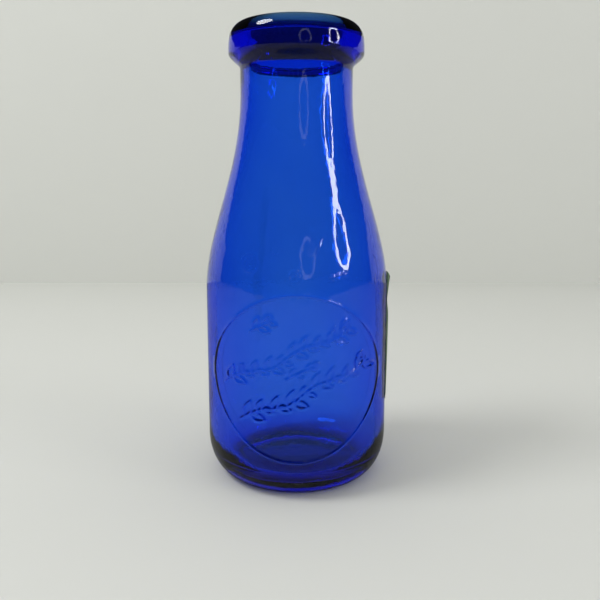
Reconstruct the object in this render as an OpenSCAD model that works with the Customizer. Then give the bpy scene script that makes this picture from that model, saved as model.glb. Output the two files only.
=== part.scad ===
// One-pint round milk bottle in moulded glass, with a seated paperboard cap and a strip label.
// Origin: centre of the base on the standing plane. +Z is up, and the raised ring faces -Y.

/* [Bottle body] */
// Overall height of the bottle
height = 184; // [170:1:240]
// Outside diameter just above the heel
body_d = 76.5; // [62:0.5:100]
// Amount the radius draws in from the heel to the shoulder
body_draft = 0.38; // [0:0.01:1.5]
// Height at which the shoulder starts to turn in
shoulder_z = 81; // [64:1:105]
// Wall thickness of the body
wall = 3.4; // [2.4:0.1:5]
// Evenness of the shoulder curve: below 1 it turns in sooner
shoulder_shape = 0.875; // [0.75:0.005:1.2]

/* [Base] */
// Height of the rounded heel
heel_h = 17.2; // [8:0.1:22]
// Amount by which the heel turns in under the body
heel_in = 11; // [5:0.1:14]
// Width of the flat ring that the bottle stands on
stand_w = 1.8; // [1:0.1:4]
// Rise of the push-up in the middle of the base
push_up = 2; // [0.5:0.1:4]
// Thickness of the floor above the standing plane
base_t = 6.5; // [5:0.1:9]
// Height of the rounded corner inside
inner_heel_h = 13; // [6:0.1:18]
// Width of the rounded corner inside
inner_heel_in = 9; // [4:0.1:14]

/* [Cap and cap seat] */
// Diameter of the paperboard cap
cap_d = 41.3; // [34:0.1:50]
// Thickness of the cap
cap_t = 1.2; // [0.9:0.1:2]
// Radial clearance of the cap in its seat
cap_gap = 0.12; // [0.05:0.01:0.4]
// Depth of the cap seat below the rim
seat_depth = 5; // [3.5:0.1:8]
// Width of the ledge that carries the cap
seat_w = 1.8; // [1.2:0.1:3]

/* [Lift tab] */
// Radius of the half-moon tab cut in the cap
tab_r = 15.5; // [10:0.5:16]
// Distance of the tab's crease from the middle of the cap
tab_crease = 3; // [0:0.5:6]
// Thickness of the tab
tab_t = 0.45; // [0.3:0.05:0.6]
// Gap around and under the tab
tab_gap = 0.15; // [0.05:0.05:0.3]

/* [Neck and lip] */
// Wall thickness of the neck around the throat
neck_wall = 3.55; // [2.5:0.05:6]
// Height of the neck and lip above the end of the shoulder curve
finish_h = 25; // [20:0.5:40]
// Height of the lip band, with the taper beneath it
lip_h = 16.9; // [12:0.1:20]
// Amount by which the lip stands out from the neck
lip_out = 4.5; // [3:0.1:7]
// Height of the taper from the lip down to the neck
lip_taper_h = 5.8; // [3:0.1:8]
// Height of the rounded crown of the lip
crown_h = 7.3; // [3:0.1:8]
// Width of the rounded crown of the lip
crown_w = 5; // [3:0.1:6]
// Rounding of the rim's inner edge
rim_r = 0.9; // [0.4:0.1:1.2]

/* [Raised ring] */
// Distance of the raised ring from the side of the body
ring_margin = 5.5; // [3:0.1:9]
// Width of the raised line
ring_line = 1; // [0.6:0.1:2]
// Height of the raised line above the glass
relief = 0.45; // [0.2:0.05:0.8]
// Height of the ring's lowest point below the top of the heel
ring_drop = 0.4; // [0:0.1:3]

/* [Side label] */
// Height of the label's lower edge
label_z = 31; // [20:1:40]
// Height of the label
label_h = 56; // [30:1:70]
// Width of the glued strip along the label's front edge
label_glued = 5.3; // [4:0.1:20]
// Width of the loose strip that stands away from the glass
label_loose = 4.4; // [2:0.1:8]
// Angle of the label's front edge around the body, from the front
label_angle = 79; // [40:1:85]
// Thickness of the label
label_t = 0.25; // [0.2:0.05:0.5]
// Film of glue between the label and the glass
glue_gap = 0.08; // [0.05:0.01:0.3]
// Angle at which the loose strip leaves the glass at mid height
label_lift = 15; // [0:0.5:20]
// Further angle of the curled top corner
label_curl = 6; // [0:0.5:10]

/* [Hidden] */

$fn = 96;
eps = 0.01;

body_r = body_d / 2;
seat_r = cap_d / 2 + cap_gap;
throat_r = seat_r - seat_w;
neck_r = throat_r + neck_wall;
lip_r = neck_r + lip_out;
neck_z = height - finish_h;
lip_z = height - lip_h;
seat_z = height - seat_depth;
cap_top = seat_z + cap_t;
stand_r = body_r - heel_in;

ring_r = body_r - ring_margin;
ring_z = heel_h + ring_r - ring_drop;

arc_steps = 10;
curve_steps = 26;
label_rows = 16;
label_glued_steps = 3;
label_loose_steps = 4;

// Share of the way from the shoulder's start to the neck, 0 below and 1 above
function shoulder_share(z) = max(0, min(1, (z - shoulder_z) / (neck_z - shoulder_z)));

// Share of the shoulder's full radius that is left at height z, as a smooth double curve
function ogee(z) = (1 + cos(180 * pow(shoulder_share(z), shoulder_shape))) / 2;

// Outside radius of the straight body at height z
function body_radius(z) = body_r - body_draft * max(0, min(z, shoulder_z) - heel_h) / (shoulder_z - heel_h);

// Outside radius of the glass at height z, from the heel up to the lip
function glass_radius(z) = neck_r + (body_radius(z) - neck_r) * ogee(z);

// Inside radius of the glass at height z
function hollow_radius(z) = throat_r + (body_radius(z) - wall - throat_r) * ogee(z);

// Points on an elliptical arc about [cx, cz], half-widths w and h, from angle a to angle b
function arc(cx, cz, w, h, a, b) =
    [for (i = [0:arc_steps]) let (t = a + (b - a) * i / arc_steps) [cx + w * cos(t), cz + h * sin(t)]];

// Heights that divide the shoulder curve evenly
function shoulder_heights() = [for (i = [0:curve_steps]) shoulder_z + (neck_z - shoulder_z) * i / curve_steps];

// Outside line of the body, from the standing ring up to the neck, grown outwards by out
function side_line(out) = concat(
    arc(stand_r, heel_h, heel_in + out, heel_h, -90, 0),
    [for (z = shoulder_heights()) [glass_radius(z) + out, z]]
);

// Underside of the base: a shallow push-up that ends at the standing ring
function base_line() =
    [for (i = [0:arc_steps]) let (s = i / arc_steps) [s * (stand_r - stand_w), push_up * (1 - s * s)]];

// Outside of the lip, from the taper beneath it over the crown to the bore
function lip_line() = concat(
    [for (i = [0:arc_steps]) let (s = i / arc_steps) [neck_r + lip_out * (1 - cos(180 * s)) / 2, lip_z + lip_taper_h * s]],
    arc(lip_r - crown_w, height - crown_h, crown_w, crown_h, 0, 90),
    arc(seat_r + rim_r, height - rim_r, rim_r, rim_r, 90, 180)
);

// Inside of the bottle, from the cap seat down to the middle of the floor
function hollow_line() = concat(
    [[seat_r, seat_z], [throat_r, seat_z]],
    [for (i = [curve_steps:-1:0]) let (z = shoulder_heights()[i]) [hollow_radius(z), z]],
    arc(body_radius(heel_h) - wall - inner_heel_in, base_t + inner_heel_h, inner_heel_in, inner_heel_h, 0, -90),
    [[0, base_t]]
);

module glass_of_revolution() {
    rotate_extrude() polygon(concat(base_line(), side_line(0), lip_line(), hollow_line()));
}

// Circle moulded on the front, seen as a true circle from the front
module raised_ring() {
    mid_wall = side_line(-wall / 2);
    intersection() {
        rotate_extrude() polygon(concat(side_line(relief), [for (i = [len(mid_wall) - 1:-1:1]) mid_wall[i]]));
        translate([0, 0, ring_z]) rotate([90, 0, 0]) linear_extrude(body_r + relief + eps) difference() {
            circle(ring_r + ring_line / 2);
            circle(ring_r - ring_line / 2);
        }
    }
}

module bottle_glass() {
    color([0.04, 0.17, 0.72, 0.8]) union() {
        glass_of_revolution();
        raised_ring();
    }
}

// Angle at which the label leaves the glass, growing towards the curled top edge
function label_leave(z) = let (s = (z - label_z) / label_h) label_lift + label_curl * pow(s, 8);

// Plan position on the label at height z and distance s from its front edge, held off the glass by off
function label_point(s, z, off) =
    let (
        r = glass_radius(z) + glue_gap + off,
        turn = label_angle + min(s, label_glued) / body_r * 180 / PI,
        loose = max(0, s - label_glued),
        way = turn - label_leave(z)
    ) [
        r * sin(turn) + loose * cos(way),
        -r * cos(turn) + loose * sin(way),
        z
    ];

// Distances from the front edge at which the label is given a point
function label_stations() = concat(
    [for (i = [0:label_glued_steps - 1]) label_glued * i / label_glued_steps],
    [for (i = [0:label_loose_steps]) label_glued + label_loose * i / label_loose_steps]
);

// Thin paper strip: one ring of points for each height, inner face first and outer face back
module side_label() {
    stations = label_stations();
    last = len(stations) - 1;
    turn_points = 2 * (last + 1);
    points = [
        for (k = [0:label_rows]) let (z = label_z + label_h * k / label_rows)
            each concat(
                [for (i = [0:last]) label_point(stations[i], z, 0)],
                [for (i = [last:-1:0]) label_point(stations[i], z, label_t)]
            )
    ];
    sides = [
        for (k = [0:label_rows - 1], i = [0:turn_points - 1])
            let (a = k * turn_points + i, b = k * turn_points + (i + 1) % turn_points)
                each [[a, a + turn_points, b], [b, a + turn_points, b + turn_points]]
    ];
    ends = [
        for (i = [0:last - 1])
            let (j = turn_points - 1 - i, top = label_rows * turn_points)
                each [[i, i + 1, j], [i + 1, j - 1, j], [top + i, top + j, top + i + 1], [top + i + 1, top + j, top + j - 1]]
    ];
    color([0.05, 0.18, 0.14]) polyhedron(points, concat(sides, ends));
}

// Half-moon outline of the lift tab, shrunk or grown by the gap
module half_moon(grow) {
    intersection() {
        circle(tab_r + grow);
        translate([tab_crease - grow, -tab_r - grow]) square([tab_r + 2 * grow, 2 * (tab_r + grow)]);
    }
}

module cap_disc() {
    color([0.72, 0.62, 0.45]) difference() {
        translate([0, 0, seat_z]) cylinder(h = cap_t, r = cap_d / 2);
        translate([0, 0, cap_top - tab_t - tab_gap]) linear_extrude(tab_t + tab_gap + eps) half_moon(tab_gap);
    }
}

module lift_tab() {
    color([0.78, 0.68, 0.5]) translate([0, 0, cap_top - tab_t]) linear_extrude(tab_t) half_moon(0);
}

bottle_glass();
side_label();
cap_disc();
lift_tab();
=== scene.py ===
"""Glass milk bottle with a strip label and a seated paperboard cap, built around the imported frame."""

import math

import bmesh
import bpy
import numpy as np
from bpy.props import FloatProperty, FloatVectorProperty, IntProperty, PointerProperty
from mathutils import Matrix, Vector


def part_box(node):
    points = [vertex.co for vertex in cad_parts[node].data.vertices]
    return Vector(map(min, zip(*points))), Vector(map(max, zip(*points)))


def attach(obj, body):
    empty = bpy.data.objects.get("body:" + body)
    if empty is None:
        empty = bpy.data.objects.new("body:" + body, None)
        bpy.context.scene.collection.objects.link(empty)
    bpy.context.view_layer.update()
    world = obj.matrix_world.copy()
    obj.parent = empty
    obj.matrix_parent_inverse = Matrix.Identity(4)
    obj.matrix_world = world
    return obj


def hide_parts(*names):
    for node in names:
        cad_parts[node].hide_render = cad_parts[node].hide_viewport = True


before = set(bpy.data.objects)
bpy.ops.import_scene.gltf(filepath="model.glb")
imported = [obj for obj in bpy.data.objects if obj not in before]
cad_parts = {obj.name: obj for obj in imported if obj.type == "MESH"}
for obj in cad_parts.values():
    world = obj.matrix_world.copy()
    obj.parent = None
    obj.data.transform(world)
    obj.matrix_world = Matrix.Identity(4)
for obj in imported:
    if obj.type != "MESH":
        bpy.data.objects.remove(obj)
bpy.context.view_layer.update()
GLASS_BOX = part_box("bottle_glass")
LABEL_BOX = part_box("side_label")
CAP_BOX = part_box("cap_disc")
TAB_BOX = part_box("lift_tab")

bl_info = {
    "name": "Glass Milk Bottle",
    "version": (1, 0, 0),
    "blender": (4, 5, 0),
    "location": "3D View > Sidebar > Milk Bottle",
    "description": "Builds a moulded glass milk bottle, its label, its paperboard cap and a plain stage",
    "category": "Add Mesh",
}

MM = 0.001
SHRINK = 0.06 * MM  # room left inside the frame's box for seams and ripple


# ---------------------------------------------------------------- sizes and colours


class BottleGlassSettings(bpy.types.PropertyGroup):
    """Sizes and colour of the moulded glass."""

    height: FloatProperty(
        name="Height", description="Overall height", default=GLASS_BOX[1].z, unit="LENGTH"
    )
    body_radius: FloatProperty(
        name="Body radius",
        description="Outside radius just above the heel",
        default=-GLASS_BOX[0].x,
        unit="LENGTH",
    )
    body_draft: FloatProperty(
        name="Draft", description="Taper from heel to shoulder", default=0.38 * MM, unit="LENGTH"
    )
    wall: FloatProperty(name="Wall", description="Body wall", default=3.4 * MM, unit="LENGTH")
    shoulder_z: FloatProperty(
        name="Shoulder height", description="Start of the shoulder curve", default=81 * MM, unit="LENGTH"
    )
    shoulder_shape: FloatProperty(
        name="Shoulder shape", description="Evenness of the shoulder curve", default=0.875
    )
    heel_height: FloatProperty(
        name="Heel height", description="Height of the round heel", default=17.2 * MM, unit="LENGTH"
    )
    heel_in: FloatProperty(
        name="Heel width", description="Amount the heel turns in", default=11 * MM, unit="LENGTH"
    )
    stand_width: FloatProperty(
        name="Standing ring", description="Width of the standing ring", default=1.8 * MM, unit="LENGTH"
    )
    push_up: FloatProperty(
        name="Push-up", description="Rise under the base", default=2 * MM, unit="LENGTH"
    )
    floor_height: FloatProperty(
        name="Floor", description="Height of the inside floor", default=6.5 * MM, unit="LENGTH"
    )
    inner_heel_height: FloatProperty(
        name="Inner heel height", description="Height of the inside corner", default=13 * MM, unit="LENGTH"
    )
    inner_heel_in: FloatProperty(
        name="Inner heel width", description="Width of the inside corner", default=9 * MM, unit="LENGTH"
    )
    seat_gap: FloatProperty(
        name="Seat gap", description="Clearance of the cap", default=0.12 * MM, unit="LENGTH"
    )
    seat_width: FloatProperty(
        name="Seat width", description="Ledge under the cap", default=1.8 * MM, unit="LENGTH"
    )
    neck_wall: FloatProperty(
        name="Neck wall", description="Wall of the neck", default=3.55 * MM, unit="LENGTH"
    )
    finish_height: FloatProperty(
        name="Finish height",
        description="Neck and lip above the shoulder curve",
        default=25 * MM,
        unit="LENGTH",
    )
    lip_height: FloatProperty(
        name="Lip height", description="Height of the lip with its taper", default=16.9 * MM, unit="LENGTH"
    )
    lip_out: FloatProperty(
        name="Lip width", description="Amount the lip stands out", default=4.5 * MM, unit="LENGTH"
    )
    lip_taper: FloatProperty(
        name="Lip taper", description="Height of the taper under the lip", default=5.8 * MM, unit="LENGTH"
    )
    crown_height: FloatProperty(
        name="Crown height", description="Height of the lip's rounded top", default=7.3 * MM, unit="LENGTH"
    )
    crown_width: FloatProperty(
        name="Crown width", description="Width of the lip's rounded top", default=5 * MM, unit="LENGTH"
    )
    rim: FloatProperty(
        name="Rim", description="Rounding of the rim's inner edge", default=0.9 * MM, unit="LENGTH"
    )
    ring_margin: FloatProperty(
        name="Ring margin", description="Distance of the ring from the side", default=5.5 * MM, unit="LENGTH"
    )
    ring_drop: FloatProperty(
        name="Ring drop",
        description="Lowest point of the ring below the heel's top",
        default=0.4 * MM,
        unit="LENGTH",
    )
    line: FloatProperty(
        name="Raised line", description="Half width of a raised line", default=0.74 * MM, unit="LENGTH"
    )
    relief: FloatProperty(
        name="Relief", description="Height of raised lines", default=0.45 * MM, unit="LENGTH"
    )
    outer_ripple: FloatProperty(
        name="Outer ripple", description="Waviness of the outside", default=0.035 * MM, unit="LENGTH"
    )
    inner_ripple: FloatProperty(
        name="Inner ripple", description="Waviness of the inside", default=0.22 * MM, unit="LENGTH"
    )
    absorption: FloatVectorProperty(
        name="Colour left",
        description="Share of each colour that the absorption leaves",
        subtype="COLOR",
        size=3,
        default=(0.046, 0.54, 0.984),
    )
    density: FloatProperty(name="Depth of colour", description="Absorption per metre", default=650.0)


class SideLabelSettings(bpy.types.PropertyGroup):
    """Sizes and colours of the strip label."""

    width: FloatProperty(name="Width", description="Width of the strip", default=9.6 * MM, unit="LENGTH")
    glued: FloatProperty(
        name="Glued width", description="Width stuck to the glass", default=5.3 * MM, unit="LENGTH"
    )
    angle: FloatProperty(
        name="Front edge",
        description="Angle of the front edge around the body",
        default=math.radians(79),
        subtype="ANGLE",
    )
    thickness: FloatProperty(
        name="Thickness", description="Paper thickness", default=0.16 * MM, unit="LENGTH"
    )
    print_colour: FloatVectorProperty(
        name="Print", description="Printed ground", subtype="COLOR", size=3, default=(0.010, 0.040, 0.036)
    )
    line_colour: FloatVectorProperty(
        name="Line", description="Printed border", subtype="COLOR", size=3, default=(0.19, 0.33, 0.13)
    )


class PaperCapSettings(bpy.types.PropertyGroup):
    """Sizes and colours of the paperboard cap."""

    edge: FloatProperty(name="Edge", description="Rounding of the cut edge", default=0.18 * MM, unit="LENGTH")
    press: FloatProperty(
        name="Pressed ring", description="Depth of the pressed ring", default=0.12 * MM, unit="LENGTH"
    )
    board_colour: FloatVectorProperty(
        name="Board", description="Waxed board", subtype="COLOR", size=3, default=(0.50, 0.38, 0.22)
    )
    stain_colour: FloatVectorProperty(
        name="Stain", description="Darker stains", subtype="COLOR", size=3, default=(0.24, 0.15, 0.07)
    )
    # Painted shade: the dark colour given to the cap's underside, standing in for the shade under the cap
    # inside the neck.
    underside_shade_colour: FloatVectorProperty(
        name="Shaded", description="Soaked underside", subtype="COLOR", size=3, default=(0.06, 0.04, 0.02)
    )


class StageSettings(bpy.types.PropertyGroup):
    """Camera, lights, floor and backdrop."""

    camera_distance: FloatProperty(
        name="Camera distance", description="From the axis", default=0.2762, unit="LENGTH"
    )
    camera_height: FloatProperty(
        name="Camera height", description="Above the floor", default=0.1258, unit="LENGTH"
    )
    camera_side: FloatProperty(name="Camera side", description="Along +X", default=0.0014, unit="LENGTH")
    camera_tilt: FloatProperty(
        name="Camera tilt", description="Downwards", default=math.radians(10.7), subtype="ANGLE"
    )
    camera_lens: FloatProperty(name="Lens", description="Focal length in mm", default=39.6)
    backdrop_distance: FloatProperty(
        name="Backdrop distance", description="Behind the axis", default=0.5, unit="LENGTH"
    )
    pale: FloatVectorProperty(
        name="Pale ground",
        description="Floor and backdrop",
        subtype="COLOR",
        size=3,
        default=(0.62, 0.63, 0.595),
    )
    # Painted shade: the share of the floor's colour that mirror reflections see.
    mirror_shade: FloatProperty(
        name="Mirrored floor",
        description="Share of the floor's brightness in mirror reflections",
        default=0.4,
    )
    lamp_power: FloatProperty(name="Key lamp", description="Power of the key lamp", default=7.0)


# ---------------------------------------------------------------- small helpers


def scene_settings():
    """The settings of every piece."""
    scene = bpy.context.scene
    return scene.bottle_glass, scene.bottle_label, scene.bottle_cap, scene.bottle_stage


def ease(t):
    """Smooth step from 0 to 1."""
    t = np.clip(t, 0.0, 1.0)
    return t * t * (3 - 2 * t)


def mesh_object(name, points, faces, smooth=True):
    """A new mesh object at the origin."""
    mesh = bpy.data.meshes.new(name)
    mesh.from_pydata([tuple(p) for p in points], [], faces)
    mesh.validate()
    mesh.update()
    if smooth:
        mesh.polygons.foreach_set("use_smooth", [True] * len(mesh.polygons))
    piece = bpy.data.objects.new(name, mesh)
    bpy.context.scene.collection.objects.link(piece)
    return piece


def outward(piece):
    """Turns every face of a closed mesh outwards."""
    work = bmesh.new()
    work.from_mesh(piece.data)
    bmesh.ops.recalc_face_normals(work, faces=work.faces)
    work.to_mesh(piece.data)
    work.free()


def waves(u, v, seed, count=7, longest=26 * MM, shortest=7 * MM):
    """Fixed sum of sine waves over two lengths, between -1 and 1."""
    draws = np.random.default_rng(seed)
    total = np.zeros(np.broadcast(u, v).shape)
    for _ in range(count):
        length = draws.uniform(shortest, longest)
        turn = draws.uniform(0, 2 * math.pi)
        phase = draws.uniform(0, 2 * math.pi)
        total += np.sin(2 * math.pi * (u * math.cos(turn) + v * math.sin(turn)) / length + phase)
    return total / count


# ---------------------------------------------------------------- outline of the glass


def shoulder_share(g, z):
    """Share of the shoulder's full radius left at height z."""
    neck_z = g.height - g.finish_height
    t = np.clip((z - g.shoulder_z) / (neck_z - g.shoulder_z), 0, 1)
    return (1 + np.cos(np.pi * t**g.shoulder_shape)) / 2


def body_radius(g, z):
    """Outside radius of the straight body at height z."""
    drop = np.clip((np.minimum(z, g.shoulder_z) - g.heel_height) / (g.shoulder_z - g.heel_height), 0, None)
    return g.body_radius - SHRINK - g.body_draft * drop


def throat_radius(g):
    """Inside radius of the neck, under the cap seat."""
    return CAP_BOX[1].x + g.seat_gap - g.seat_width


def neck_radius(g):
    """Outside radius of the neck."""
    return throat_radius(g) + g.neck_wall


def glass_radius(g, z):
    """Outside radius at height z, from the heel to the lip."""
    return neck_radius(g) + (body_radius(g, z) - neck_radius(g)) * shoulder_share(g, z)


def hollow_radius(g, z):
    """Inside radius at height z, from the inner heel to the cap seat."""
    return throat_radius(g) + (body_radius(g, z) - g.wall - throat_radius(g)) * shoulder_share(g, z)


def arc(cx, cz, w, h, a, b, steps):
    """Points on an elliptical arc, angles in degrees."""
    t = np.radians(np.linspace(a, b, steps + 1))
    return np.column_stack([cx + w * np.cos(t), cz + h * np.sin(t)])


def upright(heights, radius):
    """Points of a line given by a radius at each height."""
    return np.column_stack([radius(heights), heights])


def barrel(g, points):
    """Draws the lip's band in slightly towards the crown."""
    rise = np.maximum(points[:, 1] - (g.height - 10 * MM), 0)
    points[:, 0] -= rise**2 / (72 * MM)
    return points


def side_parts(g):
    """Points up the outside, from the middle of the base to the foot of the lip."""
    stand = g.body_radius - SHRINK - g.heel_in
    neck_z = g.height - g.finish_height
    ring_low = g.heel_height - g.ring_drop - 1.5 * MM
    fine_top = g.shoulder_z + 3 * MM
    marks_top = g.shoulder_z + 27 * MM
    share = np.linspace(0, 1, 9)
    base = np.column_stack([share * (stand - g.stand_width), g.push_up * (1 - share**2)])
    heel = arc(stand, g.heel_height, g.heel_in, g.heel_height, -90, 0, 26)
    low = np.arange(ring_low, g.heel_height, 0.40 * MM)
    low_r = stand + g.heel_in * np.sqrt(1 - ((g.heel_height - low) / g.heel_height) ** 2)
    return [
        (0, base),
        (1, heel[heel[:, 1] < ring_low]),
        (1, np.column_stack([low_r, low])),
        (1, upright(np.arange(g.heel_height, fine_top, 0.40 * MM), lambda z: glass_radius(g, z))),
        (1, upright(np.arange(fine_top, marks_top, 0.55 * MM), lambda z: glass_radius(g, z))),
        (1, upright(np.linspace(marks_top, neck_z, 24), lambda z: glass_radius(g, z))),
    ]


def lip_parts(g):
    """Points over the lip, from its taper to the inside edge of the cap seat."""
    neck, lip_z = neck_radius(g), g.height - g.lip_height
    lip, seat = neck + g.lip_out, CAP_BOX[1].x + g.seat_gap
    crown, crown_z = g.crown_width * 0.76, g.height - g.crown_height * 0.77
    taper = np.linspace(0, 1, 15)
    taper_r = neck + g.lip_out * (1 - np.cos(np.pi * taper)) / 2
    band_z = np.linspace(lip_z + g.lip_taper, crown_z, 12)[1:-1]
    ledge_z = CAP_BOX[0].z
    return [
        (2, np.column_stack([taper_r, lip_z + g.lip_taper * taper])),
        (2, barrel(g, np.column_stack([np.full(10, lip), band_z]))),
        (2, barrel(g, arc(lip - crown, crown_z, crown, g.height - crown_z, 0, 90, 16))),
        (2, arc(seat + g.rim, g.height - g.rim, g.rim, g.rim, 90, 180, 5)),
        (2, np.array([[seat, ledge_z + 0.15 * MM], [seat - 0.15 * MM, ledge_z]])),
        (2, arc(seat - g.seat_width + 0.4 * MM, ledge_z - 0.4 * MM, 0.4 * MM, 0.4 * MM, 90, 180, 3)),
    ]


def hollow_parts(g):
    """Points down the inside, from under the cap seat to the middle of the floor."""
    neck_z = g.height - g.finish_height
    corner_z = g.floor_height + g.inner_heel_height
    flat = float(body_radius(g, g.heel_height)) - g.wall - g.inner_heel_in
    throat_z = np.linspace(CAP_BOX[0].z - 2.5 * MM, neck_z, 7)
    shoulder_z = np.linspace(neck_z, g.shoulder_z, 27)[1:]
    body_z = np.linspace(g.shoulder_z, corner_z, 18)[1:-1]
    return [
        (3, upright(throat_z, lambda z: hollow_radius(g, z))),
        (3, upright(shoulder_z, lambda z: hollow_radius(g, z))),
        (3, upright(body_z, lambda z: hollow_radius(g, z))),
        (3, arc(flat, corner_z, g.inner_heel_in, g.inner_heel_height, 0, -90, 12)),
        (3, np.column_stack([np.linspace(flat, 0, 8)[1:], np.full(7, g.floor_height)])),
    ]


def outline(g):
    """The glass's half section from the middle of the base, up the outside and down the inside.

    Gives the points and, for each, which skin it belongs to: 0 base, 1 side, 2 lip and seat, 3 hollow.
    """
    parts = side_parts(g) + lip_parts(g) + hollow_parts(g)
    points = np.vstack([p for _, p in parts])
    skin = np.concatenate([np.full(len(p), k) for k, p in parts])
    return points, skin


def column_angles():
    """Angles around the axis, from -180 to 180 degrees, closest together over the raised ornament."""
    front = np.linspace(-60, 60, 190)
    back = np.linspace(60, 300, 54)[1:-1]
    return np.radians(np.concatenate([front, back]))


# ---------------------------------------------------------------- raised ornament


def turned(points, angle, at):
    """Plan points turned by an angle in degrees and moved."""
    a = math.radians(angle)
    p = np.asarray(points, float)
    x = p[:, 0] * math.cos(a) - p[:, 1] * math.sin(a) + at[0]
    y = p[:, 0] * math.sin(a) + p[:, 1] * math.cos(a) + at[1]
    return np.column_stack([x, y])


def leaf(length, width, steps=9):
    """Closed outline of a pointed leaf from the origin along +X."""
    t = np.linspace(0, 1, steps)
    half = width / 2 * np.sin(np.pi * t**0.8)
    return np.vstack([np.column_stack([t * length, half]), np.column_stack([t * length, -half])[::-1]])


def scroll(radius, turns=1.3, steps=26):
    """Spiral that closes in from the origin, starting along +X."""
    t = np.linspace(0, 1, steps)
    r = radius * (1 - 0.82 * t)
    a = -math.pi / 2 + 2 * math.pi * turns * t
    return np.column_stack([r * np.cos(a), radius + r * np.sin(a)])


def laurel(length, swing, spacing, reach, slope, at):
    """A wavy stem with leaves in pairs and a scroll at each end, as lines on the plan."""
    t = np.linspace(0, 1, 40)
    stem = np.column_stack([t * length, swing * np.sin(2 * math.pi * t * length / 26)])
    lines = [stem]
    count = max(2, int(length / spacing))
    for i in range(count):
        s = (i + 0.35) / count
        foot = (s * length, swing * math.sin(2 * math.pi * s * length / 26))
        grown = reach * (0.82 + 0.18 * math.cos(2.3 * i))
        lines.append(turned(leaf(grown, grown * 0.42), 46, foot))
        lines.append(turned(leaf(grown * 0.86, grown * 0.42), -42, (foot[0] + spacing * 0.45, foot[1])))
    lines.append(turned(scroll(reach * 0.34), 20, (length, stem[-1, 1])))
    return [turned(line, slope, at) for line in lines]


def circle_line(radius, at, steps=24):
    """A closed circle on the plan."""
    a = np.linspace(0, 2 * math.pi, steps + 1)
    return np.column_stack([at[0] + radius * np.cos(a), at[1] + radius * np.sin(a)])


def ornament_lines(ring_z):
    """Every raised line inside the ring, as lists of plan points (x, z) in metres."""
    mid = ring_z / MM
    rows = [
        laurel(9, 0.5, 4.6, 5.2, 24, (-17.5, mid + 18.5)),
        laurel(53, 1.2, 5.3, 6.2, 25, (-28, mid - 3)),
        laurel(13, 0.5, 4.4, 3.6, 22, (-4, mid + 0.5)),
        laurel(53, 1.2, 5.6, 6.8, 25, (-21.5, mid - 17)),
    ]
    return [line * MM for row in rows for line in row]


def shoulder_lines(g):
    """Small raised marks on the shoulder: rings, bars and dots."""
    z = g.shoulder_z / MM
    bars = [np.array([[5.2 + 2.6 * i, z + 16.5], [6.4 + 2.6 * i, z + 21.5]]) for i in range(2)]
    dots = [circle_line(0.5, (13.5 + 2.4 * i, z + 7.5 + 0.5 * i), 8) for i in range(3)]
    rings = [
        circle_line(3.0, (-17.5, z + 12.5)),
        circle_line(1.5, (-17.5, z + 12.5), 12),
        circle_line(2.2, (-7.6, z + 18)),
        circle_line(2.0, (-0.6, z + 8)),
        circle_line(0.6, (-0.6, z + 8), 8),
    ]
    return [line * MM for line in bars + dots + rings]


def distance_to_lines(x, z, lines):
    """Shortest distance on the plan from each point to any of the lines."""
    starts = np.vstack([line[:-1] for line in lines])
    steps = np.vstack([line[1:] - line[:-1] for line in lines])
    squares = np.maximum((steps**2).sum(1), 1e-18)
    best = np.full(x.shape, 1.0)
    for first in range(0, len(x), 4000):
        part = slice(first, first + 4000)
        dx = x[part, None] - starts[None, :, 0]
        dz = z[part, None] - starts[None, :, 1]
        t = np.clip((dx * steps[:, 0] + dz * steps[:, 1]) / squares, 0, 1)
        gap = (dx - t * steps[:, 0]) ** 2 + (dz - t * steps[:, 1]) ** 2
        best[part] = np.sqrt(gap.min(1))
    return best


def raised(distance, half_width, height):
    """Height of a rounded raised line at a distance from its middle."""
    t = np.clip(distance / half_width, 0, 1)
    return height * 0.5 * (1 + np.cos(np.pi * t))


def relief_height(g, turn, z):
    """Height of the ring, ornament and marks above the outside of the glass."""
    ring_radius = g.body_radius - g.ring_margin
    ring_z = g.heel_height + ring_radius - g.ring_drop
    radius = glass_radius(g, z)
    x = radius * np.sin(turn)
    front = np.cos(turn) > 0.35
    height = np.zeros(x.shape)
    across = np.hypot(x, z - ring_z)
    squeeze = np.hypot(x / np.maximum(across, 1e-6) * np.cos(turn), (z - ring_z) / np.maximum(across, 1e-6))
    off_ring = np.abs(across - ring_radius) / np.maximum(squeeze, 0.3)
    height = np.where(front, raised(off_ring, g.line * 0.85, g.relief), 0)
    inside = front & (across < ring_radius)
    lines = ornament_lines(ring_z)
    gap = distance_to_lines(x[inside], z[inside], lines)
    height[inside] = np.maximum(height[inside], raised(gap, g.line, g.relief))
    marks = front & (z > g.shoulder_z + 3 * MM) & (z < g.shoulder_z + 26 * MM)
    gap = distance_to_lines(x[marks], z[marks], shoulder_lines(g))
    height[marks] = np.maximum(height[marks], raised(gap, g.line, g.relief * 0.45))
    return height


# ---------------------------------------------------------------- node groups and materials


def new_group(name, inputs, outputs):
    """A shader node group with the named sockets."""
    group = bpy.data.node_groups.new(name, "ShaderNodeTree")
    for label, kind, value in inputs:
        socket = group.interface.new_socket(label, in_out="INPUT", socket_type=kind)
        if value is not None:
            socket.default_value = value
    for label, kind in outputs:
        group.interface.new_socket(label, in_out="OUTPUT", socket_type=kind)
    return group, group.nodes.new("NodeGroupInput"), group.nodes.new("NodeGroupOutput")


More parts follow.
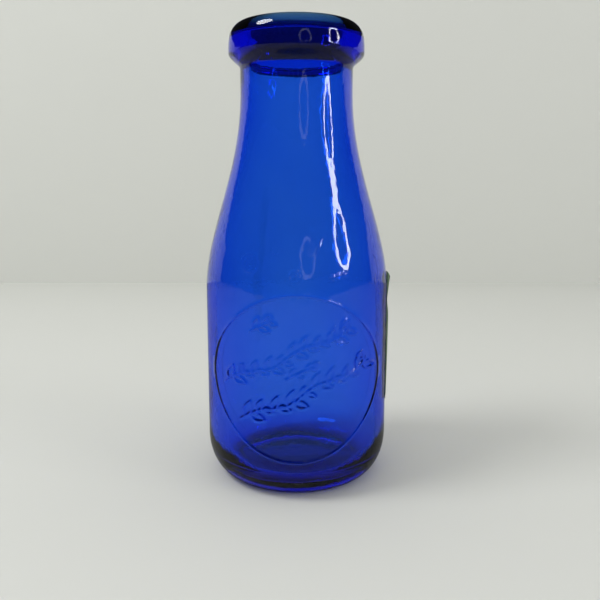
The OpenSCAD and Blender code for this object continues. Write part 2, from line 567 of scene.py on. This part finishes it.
def surface_grain_group():
    """Fine grain at two scales over object space, as a height and a mask."""
    group, inp, out = new_group(
        "Surface grain",
        [
            ("Scale", "NodeSocketFloat", 400.0),
            ("Stretch", "NodeSocketFloat", 1.0),
            ("Sharp", "NodeSocketFloat", 0.5),
        ],
        [("Height", "NodeSocketFloat"), ("Mask", "NodeSocketFloat")],
    )
    nodes, links = group.nodes, group.links
    place = nodes.new("ShaderNodeTexCoord")
    stretch = nodes.new("ShaderNodeCombineXYZ")
    stretch.inputs["X"].default_value = 1.0
    stretch.inputs["Y"].default_value = 1.0
    links.new(inp.outputs["Stretch"], stretch.inputs["Z"])
    scaled = nodes.new("ShaderNodeVectorMath")
    scaled.operation = "MULTIPLY"
    links.new(place.outputs["Object"], scaled.inputs[0])
    links.new(stretch.outputs["Vector"], scaled.inputs[1])
    coarse = nodes.new("ShaderNodeTexNoise")
    coarse.inputs["Detail"].default_value = 4.0
    links.new(scaled.outputs["Vector"], coarse.inputs["Vector"])
    links.new(inp.outputs["Scale"], coarse.inputs["Scale"])
    links.new(inp.outputs["Sharp"], coarse.inputs["Roughness"])
    finer = nodes.new("ShaderNodeMath")
    finer.operation = "MULTIPLY"
    finer.inputs[1].default_value = 0.17
    links.new(inp.outputs["Scale"], finer.inputs[0])
    broad = nodes.new("ShaderNodeTexNoise")
    broad.inputs["Detail"].default_value = 2.0
    links.new(scaled.outputs["Vector"], broad.inputs["Vector"])
    links.new(finer.outputs["Value"], broad.inputs["Scale"])
    links.new(coarse.outputs["Fac"], out.inputs["Height"])
    links.new(broad.outputs["Fac"], out.inputs["Mask"])
    return group


def grain_group():
    """The one surface grain group that every material shares."""
    return bpy.data.node_groups.get("Surface grain") or surface_grain_group()


def new_material(name):
    """A material with a Principled shader, and its nodes and links."""
    material = bpy.data.materials.new(name)
    material.use_nodes = True
    nodes, links = material.node_tree.nodes, material.node_tree.links
    return material, nodes, links, nodes["Principled BSDF"]


def add_grain(nodes, scale, stretch=1.0, sharp=0.5):
    """Places the grain group with its own values."""
    grain = nodes.new("ShaderNodeGroup")
    grain.node_tree = grain_group()
    grain.inputs["Scale"].default_value = scale
    grain.inputs["Stretch"].default_value = stretch
    grain.inputs["Sharp"].default_value = sharp
    return grain


def add_bump(nodes, links, shader, height, strength, distance):
    """Feeds a height to the shader's normal."""
    bump = nodes.new("ShaderNodeBump")
    bump.inputs["Strength"].default_value = strength
    bump.inputs["Distance"].default_value = distance
    links.new(height, bump.inputs["Height"])
    links.new(bump.outputs["Normal"], shader.inputs["Normal"])


def ramp(nodes, links, factor, stops):
    """Colour ramp with (place, colour) stops."""
    node = nodes.new("ShaderNodeValToRGB")
    while len(node.color_ramp.elements) < len(stops):
        node.color_ramp.elements.new(0.5)
    for element, (place, colour) in zip(node.color_ramp.elements, stops):
        element.position = place
        element.color = (*colour, 1.0)
    links.new(factor, node.inputs["Fac"])
    return node


def mix_colour(nodes, links, factor, first, second):
    """Mixes two colours, each a socket or three numbers."""
    node = nodes.new("ShaderNodeMix")
    node.data_type = "RGBA"
    links.new(factor, node.inputs["Factor"])
    for socket, value in ((node.inputs["A"], first), (node.inputs["B"], second)):
        if isinstance(value, bpy.types.NodeSocket):
            links.new(value, socket)
        else:
            socket.default_value = (*value, 1.0)
    return node.outputs["Result"]


def cobalt_glass(g):
    """Clear glass that takes its blue from its depth, with faint mould texture."""
    material, nodes, links, shader = new_material("Cobalt glass")
    shader.inputs["Base Color"].default_value = (1, 1, 1, 1)
    shader.inputs["Roughness"].default_value = 0.0
    shader.inputs["IOR"].default_value = 1.51
    shader.inputs["Transmission Weight"].default_value = 1.0
    grain = add_grain(nodes, 480.0, 0.7, 0.35)
    wobble = nodes.new("ShaderNodeMath")
    wobble.operation = "MULTIPLY_ADD"
    wobble.inputs[1].default_value = 0.6
    links.new(grain.outputs["Height"], wobble.inputs[0])
    links.new(grain.outputs["Mask"], wobble.inputs[2])
    add_bump(nodes, links, shader, wobble.outputs["Value"], 0.5, 0.12 * MM)
    depth = nodes.new("ShaderNodeVolumeAbsorption")
    depth.inputs["Color"].default_value = (*g.absorption, 1.0)
    depth.inputs["Density"].default_value = g.density
    links.new(depth.outputs["Volume"], nodes["Material Output"].inputs["Volume"])
    return material


def label_paper(s):
    """Printed green paper with a pale border line, fibres and a worn edge."""
    material, nodes, links, shader = new_material("Label paper")
    uv = nodes.new("ShaderNodeUVMap")
    uv.uv_map = "Strip"
    split = nodes.new("ShaderNodeSeparateXYZ")
    links.new(uv.outputs["UV"], split.inputs["Vector"])
    border = ramp(
        nodes,
        links,
        split.outputs["X"],
        [
            (0.0, s.print_colour),
            (0.08, s.line_colour),
            (0.14, s.print_colour),
            (0.72, s.print_colour),
            (0.76, s.line_colour),
            (0.81, s.line_colour),
            (0.85, s.print_colour),
        ],
    )
    grain = add_grain(nodes, 1500.0, 0.5, 0.6)
    worn = ramp(nodes, links, grain.outputs["Mask"], [(0.58, (0, 0, 0)), (0.74, (1, 1, 1))])
    faded = mix_colour(nodes, links, worn.outputs["Color"], border.outputs["Color"], (0.09, 0.15, 0.11))
    links.new(faded, shader.inputs["Base Color"])
    rough = ramp(nodes, links, grain.outputs["Height"], [(0.3, (0.62,) * 3), (0.7, (0.8,) * 3)])
    links.new(rough.outputs["Color"], shader.inputs["Roughness"])
    add_bump(nodes, links, shader, grain.outputs["Height"], 0.5, 0.05 * MM)
    return material


def cap_board(s, name, lift):
    """Waxed board: mottled, fibrous and darker where it has stained, with painted shade on its underside."""
    material, nodes, links, shader = new_material(name)
    board = tuple(min(1.0, c * lift) for c in s.board_colour)
    grain = add_grain(nodes, 900.0, 1.0, 0.65)
    stains = add_grain(nodes, 260.0, 1.0, 0.5)
    mottled = mix_colour(nodes, links, grain.outputs["Height"], tuple(c * 0.78 for c in board), board)
    spread = ramp(nodes, links, stains.outputs["Mask"], [(0.45, (0, 0, 0)), (0.75, (0.8, 0.8, 0.8))])
    stained = mix_colour(nodes, links, spread.outputs["Color"], mottled, tuple(s.stain_colour))
    # Painted shade: the underside and the lowest half millimetre of the edge take the dark shade colour.
    place = nodes.new("ShaderNodeTexCoord")
    split = nodes.new("ShaderNodeSeparateXYZ")
    links.new(place.outputs["Object"], split.inputs["Vector"])
    under = nodes.new("ShaderNodeMapRange")
    under.inputs["From Min"].default_value = CAP_BOX[0].z
    under.inputs["From Max"].default_value = CAP_BOX[0].z + 0.5 * MM
    links.new(split.outputs["Z"], under.inputs["Value"])
    underside_shaded = mix_colour(nodes, links, under.outputs["Result"], tuple(s.underside_shade_colour), stained)
    links.new(underside_shaded, shader.inputs["Base Color"])
    rough = ramp(nodes, links, grain.outputs["Height"], [(0.3, (0.45,) * 3), (0.7, (0.7,) * 3)])
    links.new(rough.outputs["Color"], shader.inputs["Roughness"])
    add_bump(nodes, links, shader, grain.outputs["Height"], 0.6, 0.08 * MM)
    return material


def pale_ground(s, name, mirror_shade):
    """Plain matt studio ground. Mirror reflections see a darker copy of its colour, painted shade that makes
    it mirror dimly in the glass.
    """
    material, nodes, links, shader = new_material(name)
    ground = tuple(s.pale)
    grain = add_grain(nodes, 30.0)
    even = mix_colour(nodes, links, grain.outputs["Mask"], tuple(c * 0.985 for c in ground), ground)
    # Painted shade: rays that mirror the ground, and are no transmission rays, see a darker copy of its
    # colour.
    path = nodes.new("ShaderNodeLightPath")
    mirror = nodes.new("ShaderNodeMath")
    mirror.operation = "SUBTRACT"
    mirror.use_clamp = True
    links.new(path.outputs["Is Glossy Ray"], mirror.inputs[0])
    links.new(path.outputs["Is Transmission Ray"], mirror.inputs[1])
    painted_shade = tuple(c * mirror_shade for c in ground)
    links.new(mix_colour(nodes, links, mirror.outputs["Value"], even, painted_shade), shader.inputs["Base Color"])
    shader.inputs["Roughness"].default_value = 0.7
    shader.inputs["Specular IOR Level"].default_value = 0.25
    return material


# ---------------------------------------------------------------- pieces


def skin_growth(g, line, skin, turn, height, radius):
    """How far each point of the glass stands out from its plain outline."""
    grown = np.zeros(turn.shape)
    around = turn * radius
    side = skin == 1
    grown[side] += relief_height(g, turn[side], height[side])
    seam = np.minimum(np.abs(turn - math.pi / 2), np.abs(turn - 1.5 * math.pi)) * radius
    seam_rows = side & (line[:, 1] > g.heel_height * 0.4)
    grown[seam_rows] += raised(seam[seam_rows], 0.45 * MM, 0.05 * MM)
    blend_in = ease((height - 2 * MM) / (8 * MM))
    grown[side] += (waves(around, height, 11) * g.outer_ripple * blend_in)[side]
    lip = skin == 2
    grown[lip] += (waves(around, height, 12, 5, 30 * MM, 12 * MM) * g.outer_ripple * 0.6)[lip]
    hollow = skin == 3
    fade = ease((CAP_BOX[0].z - 3 * MM - height) / (8 * MM)) * ease(radius / (12 * MM))
    grown[hollow] += (waves(around, height * 0.6, 21, 9, 34 * MM, 9 * MM) * g.inner_ripple * fade)[hollow]
    flat = skin == 0
    grown[flat] += (waves(around, radius, 31) * g.outer_ripple * ease((radius - 3 * MM) / (9 * MM)))[flat]
    return grown


def skin_faces(rows, columns):
    """Faces of the closed skin: a fan at each end and rings of squares between."""
    faces = []
    end = 1 + (rows - 2) * columns
    for i in range(columns):
        j = (i + 1) % columns
        faces.append((0, 1 + j, 1 + i))
        last = 1 + (rows - 3) * columns
        faces.append((end, last + i, last + j))
    for k in range(rows - 3):
        a, b = 1 + k * columns, 1 + (k + 1) * columns
        for i in range(columns):
            j = (i + 1) % columns
            faces.append((a + i, a + j, b + j, b + i))
    return faces


def build_bottle(g):
    """The moulded glass as one closed skin, outside and inside."""
    line, skin = outline(g)
    turns = column_angles()
    along = np.gradient(line, axis=0)
    along /= np.maximum(np.linalg.norm(along, axis=1), 1e-9)[:, None]
    normal = np.column_stack([along[:, 1], -along[:, 0]])
    turn, height = np.meshgrid(turns, line[:, 1])
    radius = np.repeat(line[:, :1], len(turns), axis=1)
    grown = skin_growth(g, line, skin, turn, height, radius)
    r = radius + grown * normal[:, :1]
    z = np.clip(height + grown * normal[:, 1:], 0, g.height)
    grid = np.stack([r * np.sin(turn), -r * np.cos(turn), z], axis=-1)
    points = [(0.0, 0.0, float(line[0, 1]))]
    points += [tuple(p) for p in grid[1:-1].reshape(-1, 3)]
    points.append((0.0, 0.0, float(line[-1, 1])))
    piece = mesh_object("bottle_glass_skin", points, skin_faces(len(line), len(turns)))
    outward(piece)
    piece.data.materials.append(cobalt_glass(g))
    return piece


def strip_point(g, s, across, z, top, low):
    """A point on the label's middle sheet: glued at first, then standing off with a curled top."""
    share = (z - low) / (top - low)
    radius = float(glass_radius(g, np.array(z))) + 0.12 * MM + s.thickness / 2
    peel = math.radians(5) * max(0.0, (share - 0.9) / 0.1)
    turn = s.angle - peel + min(across, s.glued) / g.body_radius
    loose = max(0.0, across - s.glued)
    pinch = 8.0 * math.exp(-(((share - 0.76) / 0.07) ** 2)) + 7.0 * (1 - share) ** 2
    curl = 6.0 * max(0.0, (share - 0.86) / 0.14)
    leave = math.radians(15.0 - pinch + curl)
    way = turn - leave
    x = radius * math.sin(turn) + loose * math.cos(way)
    y = -radius * math.cos(turn) + loose * math.sin(way)
    return Vector((x, y, z))


def build_label(g, s):
    """The strip label as a thin folded and curled sheet."""
    low, top = LABEL_BOX[0].z, LABEL_BOX[1].z
    columns, rows = 22, 84
    points, faces, places = [], [], []
    for k in range(rows + 1):
        v = k / rows
        for i in range(columns + 1):
            u = i / columns
            corner = abs(u - 0.5) * 2
            z = low + (top - low) * v
            z -= 3.2 * MM * corner**1.4 * ease(np.array((v - 0.94) / 0.06)).item()
            z += 1.2 * MM * (1 - u) * ease(np.array((0.04 - v) / 0.04)).item()
            points.append(strip_point(g, s, u * s.width, z, top, low))
            places.append((u, v))
    stride = columns + 1
    for k in range(rows):
        for i in range(columns):
            a = k * stride + i
            faces.append((a, a + 1, a + 1 + stride, a + stride))
    piece = mesh_object("side_label_sheet", points, faces)
    layer = piece.data.uv_layers.new(name="Strip")
    for loop in piece.data.loops:
        layer.data[loop.index].uv = places[loop.vertex_index]
    shell = piece.modifiers.new("Paper", "SOLIDIFY")
    shell.thickness = s.thickness
    shell.offset = 0
    apply_modifiers(piece)
    piece.data.materials.append(label_paper(s))
    return piece


def apply_modifiers(piece):
    """Keeps the mesh as its modifiers shape it."""
    graph = bpy.context.evaluated_depsgraph_get()
    shaped = bpy.data.meshes.new_from_object(piece.evaluated_get(graph))
    piece.modifiers.clear()
    piece.data = shaped


def half_moon_outline(radius, crease, steps):
    """Plan outline of the tab, from one end of its crease round to the other."""
    reach = math.acos(crease / radius)
    turn = np.linspace(-reach, reach, steps)
    return np.column_stack([radius * np.cos(turn), radius * np.sin(turn)])


def circle_verts(work, turns, r, z):
    """A circle of new vertices at one height."""
    return [work.verts.new((r * math.cos(t), r * math.sin(t), z)) for t in turns]


def join_loops(work, first, second):
    """A band of faces between two closed loops of vertices."""
    for i in range(len(first)):
        j = (i + 1) % len(first)
        work.faces.new((first[i], first[j], second[j], second[i]))


def loop_edges(work, loop):
    """The edges of a closed loop of vertices."""
    return [work.edges.get((loop[i], loop[(i + 1) % len(loop)])) for i in range(len(loop))]


def board_object(name, work, material):
    """Turns a finished board mesh into an object with its material."""
    mesh = bpy.data.meshes.new(name)
    work.to_mesh(mesh)
    work.free()
    piece = bpy.data.objects.new(name, mesh)
    bpy.context.scene.collection.objects.link(piece)
    piece.data.materials.append(material)
    return piece


def build_cap(s):
    """The paperboard disc, with a pressed ring and a half-moon recess for its tab."""
    radius, low, top = CAP_BOX[1].x, CAP_BOX[0].z, CAP_BOX[1].z
    gap = 0.15 * MM
    crease = TAB_BOX[0].x - gap
    tab_radius = math.hypot(TAB_BOX[0].x, TAB_BOX[1].y) + gap
    recess = TAB_BOX[0].z - gap
    press_at = radius - 2.1 * MM
    sizes = [
        (radius - s.edge, low),
        (radius, low + s.edge),
        (radius, top - s.edge),
        (radius - s.edge, top),
        (press_at + 0.5 * MM, top),
        (press_at, top - s.press),
        (press_at - 0.5 * MM, top),
    ]
    work = bmesh.new()
    turns = np.linspace(0, 2 * math.pi, 121)[:-1]
    rings = [circle_verts(work, turns, r, z) for r, z in sizes]
    for first, second in zip(rings, rings[1:]):
        join_loops(work, first, second)
    work.faces.new(rings[0][::-1])
    moon = half_moon_outline(tab_radius, crease, 49)
    upper = [work.verts.new((x, y, top)) for x, y in moon]
    lower = [work.verts.new((x, y, recess)) for x, y in moon]
    join_loops(work, lower, upper)
    work.faces.new(lower)
    edges = loop_edges(work, rings[-1]) + loop_edges(work, upper)
    bmesh.ops.triangle_fill(work, edges=edges, use_beauty=True)
    bmesh.ops.remove_doubles(work, verts=work.verts, dist=1e-7)
    bmesh.ops.recalc_face_normals(work, faces=work.faces)
    return board_object("cap_disc_board", work, cap_board(s, "Cap board", 1.0))


def build_tab(s):
    """The half-moon tab, a thin ply with soft cut edges."""
    low, top = TAB_BOX[0].z, TAB_BOX[1].z
    crease = TAB_BOX[0].x
    radius = math.hypot(crease, TAB_BOX[1].y)
    moon = half_moon_outline(radius, crease, 49)
    work = bmesh.new()
    face = work.faces.new([work.verts.new((x, y, low)) for x, y in moon])
    grown = bmesh.ops.extrude_face_region(work, geom=[face])
    upper = [v for v in grown["geom"] if isinstance(v, bmesh.types.BMVert)]
    bmesh.ops.translate(work, verts=upper, vec=(0, 0, top - low))
    bmesh.ops.recalc_face_normals(work, faces=work.faces)
    rim = [e for e in work.edges if abs(e.verts[0].co.z - e.verts[1].co.z) < 1e-9]
    bmesh.ops.bevel(work, geom=rim, offset=0.09 * MM, segments=2, affect="EDGES", profile=0.5)
    return board_object("lift_tab_ply", work, cap_board(s, "Tab board", 1.12))


# ---------------------------------------------------------------- stage


def build_floor(s):
    """Pale floor sheet and a pale backdrop wall behind the bottle."""
    reach, front, tall = 1.6, 0.49, 0.34
    back = s.backdrop_distance
    near = [(-reach, -front, 0), (reach, -front, 0)]
    far = [(reach, back, 0), (-reach, back, 0)]
    high = [(reach, back, tall), (-reach, back, tall)]
    floor = mesh_object("stage_floor", near + far, [(0, 1, 2, 3)])
    wall = mesh_object("stage_backdrop", far[::-1] + high, [(0, 1, 2, 3)])
    # The floor carries painted shade in mirror reflections; the backdrop keeps its full colour.
    floor.data.materials.append(pale_ground(s, "Floor", s.mirror_shade))
    wall.data.materials.append(pale_ground(s, "Backdrop", 1.0))
    return [floor, wall]


def area_lamp(name, azimuth, elevation, distance, size, power, colour=(1, 1, 1)):
    """A soft lamp aimed at the middle of the bottle, azimuth from the front towards +X."""
    light = bpy.data.lights.new(name, "AREA")
    light.shape = "DISK"
    light.size = size
    light.energy = power
    light.color = colour
    lamp = bpy.data.objects.new(name, light)
    a, e = math.radians(azimuth), math.radians(elevation)
    way = Vector((math.sin(a) * math.cos(e), -math.cos(a) * math.cos(e), math.sin(e)))
    target = Vector((0, 0, GLASS_BOX[1].z * 0.5))
    lamp.location = target + way * distance
    lamp.rotation_mode = "QUATERNION"
    lamp.rotation_quaternion = way.to_track_quat("Z", "Y")
    bpy.context.scene.collection.objects.link(lamp)
    return lamp


def ring_lamp(name, azimuth, elevation, strength):
    """A glowing ring aimed at the bottle, as a studio ring light."""
    distance, across, tube = 1.5, 0.50, 0.06
    bpy.ops.mesh.primitive_torus_add(
        major_radius=across / 2 - tube / 2, minor_radius=tube / 2, major_segments=64, minor_segments=10
    )
    ring = bpy.context.active_object
    ring.name = name
    a, e = math.radians(azimuth), math.radians(elevation)
    way = Vector((math.sin(a) * math.cos(e), -math.cos(a) * math.cos(e), math.sin(e)))
    ring.location = Vector((0, 0, GLASS_BOX[1].z * 0.7)) + way * distance
    ring.rotation_mode = "QUATERNION"
    ring.rotation_quaternion = way.to_track_quat("Z", "Y")
    material, _, _, shader = new_material(name)
    shader.inputs["Base Color"].default_value = (0.8, 0.8, 0.8, 1)
    shader.inputs["Emission Color"].default_value = (1, 1, 1, 1)
    shader.inputs["Emission Strength"].default_value = strength
    ring.data.materials.append(material)
    ring.visible_camera = False
    return ring


def world_shade(nodes, colour, strength):
    """One plain world colour."""
    ground = nodes.new("ShaderNodeBackground")
    ground.inputs["Color"].default_value = colour
    ground.inputs["Strength"].default_value = strength
    return ground.outputs["Background"]


def world_mix(nodes, links, factor, first, second):
    """Mixes two world shaders."""
    mix = nodes.new("ShaderNodeMixShader")
    links.new(factor, mix.inputs["Fac"])
    links.new(first, mix.inputs[1])
    links.new(second, mix.inputs[2])
    return mix.outputs["Shader"]


def build_world():
    """Soft even light, pale towards the horizon through the glass, and a dim room in mirror reflections."""
    world = bpy.data.worlds.new("Studio")
    world.use_nodes = True
    nodes, links = world.node_tree.nodes, world.node_tree.links
    nodes.clear()
    path = nodes.new("ShaderNodeLightPath")
    place = nodes.new("ShaderNodeTexCoord")
    split = nodes.new("ShaderNodeSeparateXYZ")
    links.new(place.outputs["Generated"], split.inputs["Vector"])
    rise = nodes.new("ShaderNodeMapRange")
    rise.inputs["From Min"].default_value = 0.22
    rise.inputs["From Max"].default_value = 0.5
    links.new(split.outputs["Z"], rise.inputs["Value"])
    pale, dark = (0.59, 0.60, 0.565, 1), (0.02, 0.02, 0.024, 1)
    soft = world_shade(nodes, (1.0, 1.0, 0.985, 1), 0.80)
    room = world_shade(nodes, dark, 1.0)
    through = world_mix(nodes, links, rise.outputs["Result"], world_shade(nodes, pale, 0.9), room)
    lit = world_mix(nodes, links, path.outputs["Is Glossy Ray"], soft, room)
    lit = world_mix(nodes, links, path.outputs["Is Transmission Ray"], lit, through)
    lit = world_mix(nodes, links, path.outputs["Is Camera Ray"], lit, world_shade(nodes, pale, 1.0))
    out = nodes.new("ShaderNodeOutputWorld")
    links.new(lit, out.inputs["Surface"])
    bpy.context.scene.world = world


def build_camera(s):
    """The camera, in front of the bottle and tilted slightly down."""
    data = bpy.data.cameras.new("Camera")
    data.lens = s.camera_lens
    data.sensor_width = 36.0
    data.clip_start = 0.01
    camera = bpy.data.objects.new("Camera", data)
    camera.location = (s.camera_side, -s.camera_distance, s.camera_height)
    camera.rotation_euler = (math.pi / 2 - s.camera_tilt, 0, 0)
    bpy.context.scene.collection.objects.link(camera)
    bpy.context.scene.camera = camera


# ---------------------------------------------------------------- operators


class MILKBOTTLE_OT_glass(bpy.types.Operator):
    """Build the moulded glass bottle"""

    bl_idname = "milkbottle.glass"
    bl_label = "Build glass"

    def execute(self, context):
        glass, _, _, _ = scene_settings()
        piece = build_bottle(glass)
        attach(piece, "bottle")
        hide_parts("bottle_glass")
        return {"FINISHED"}


class MILKBOTTLE_OT_label(bpy.types.Operator):
    """Build the strip label on the bottle's side"""

    bl_idname = "milkbottle.label"
    bl_label = "Build label"

    def execute(self, context):
        glass, label, _, _ = scene_settings()
        piece = build_label(glass, label)
        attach(piece, "bottle")
        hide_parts("side_label")
        return {"FINISHED"}


class MILKBOTTLE_OT_cap(bpy.types.Operator):
    """Build the paperboard cap and its lift tab"""

    bl_idname = "milkbottle.cap"
    bl_label = "Build cap"

    def execute(self, context):
        _, _, cap, _ = scene_settings()
        disc = build_cap(cap)
        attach(disc, "cap")
        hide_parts("cap_disc")
        tab = build_tab(cap)
        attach(tab, "tab")
        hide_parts("lift_tab")
        return {"FINISHED"}


class MILKBOTTLE_OT_stage(bpy.types.Operator):
    """Set the floor, backdrop, lights, world and camera"""

    bl_idname = "milkbottle.stage"
    bl_label = "Build stage"

    def execute(self, context):
        _, _, _, stage = scene_settings()
        build_floor(stage)
        ring_lamp("stage_ring_light", 64, 16.5, 14.0)
        ring_lamp("stage_far_ring_light", 14, 15, 0.18)
        area_lamp("Key lamp", -72, 52, 1.3, 0.5, stage.lamp_power)
        build_world()
        build_camera(stage)
        context.scene.view_settings.view_transform = "Standard"
        return {"FINISHED"}


class MILKBOTTLE_PT_sidebar(bpy.types.Panel):
    """Lists the bottle's operators and settings"""

    bl_label = "Milk Bottle"
    bl_idname = "MILKBOTTLE_PT_sidebar"
    bl_space_type = "VIEW_3D"
    bl_region_type = "UI"
    bl_category = "Milk Bottle"

    def draw(self, context):
        layout = self.layout
        for operator in OPERATORS:
            layout.operator(operator.bl_idname)
        for settings in scene_settings():
            for name in settings.__annotations__:
                layout.prop(settings, name)


SETTINGS = {
    "bottle_glass": BottleGlassSettings,
    "bottle_label": SideLabelSettings,
    "bottle_cap": PaperCapSettings,
    "bottle_stage": StageSettings,
}
OPERATORS = (MILKBOTTLE_OT_stage, MILKBOTTLE_OT_glass, MILKBOTTLE_OT_label, MILKBOTTLE_OT_cap)
CLASSES = (*SETTINGS.values(), *OPERATORS, MILKBOTTLE_PT_sidebar)


def register():
    """Registers the classes and the settings on the scene."""
    for cls in CLASSES:
        bpy.utils.register_class(cls)
    for name, group in SETTINGS.items():
        setattr(bpy.types.Scene, name, PointerProperty(type=group))


def unregister():
    """Removes the settings and the classes."""
    for name in SETTINGS:
        delattr(bpy.types.Scene, name)
    for cls in reversed(CLASSES):
        bpy.utils.unregister_class(cls)


def main():
    """Registers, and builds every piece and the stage."""
    register()
    bpy.ops.milkbottle.stage()
    bpy.ops.milkbottle.glass()
    bpy.ops.milkbottle.label()
    bpy.ops.milkbottle.cap()


if __name__ == "__main__":
    main()
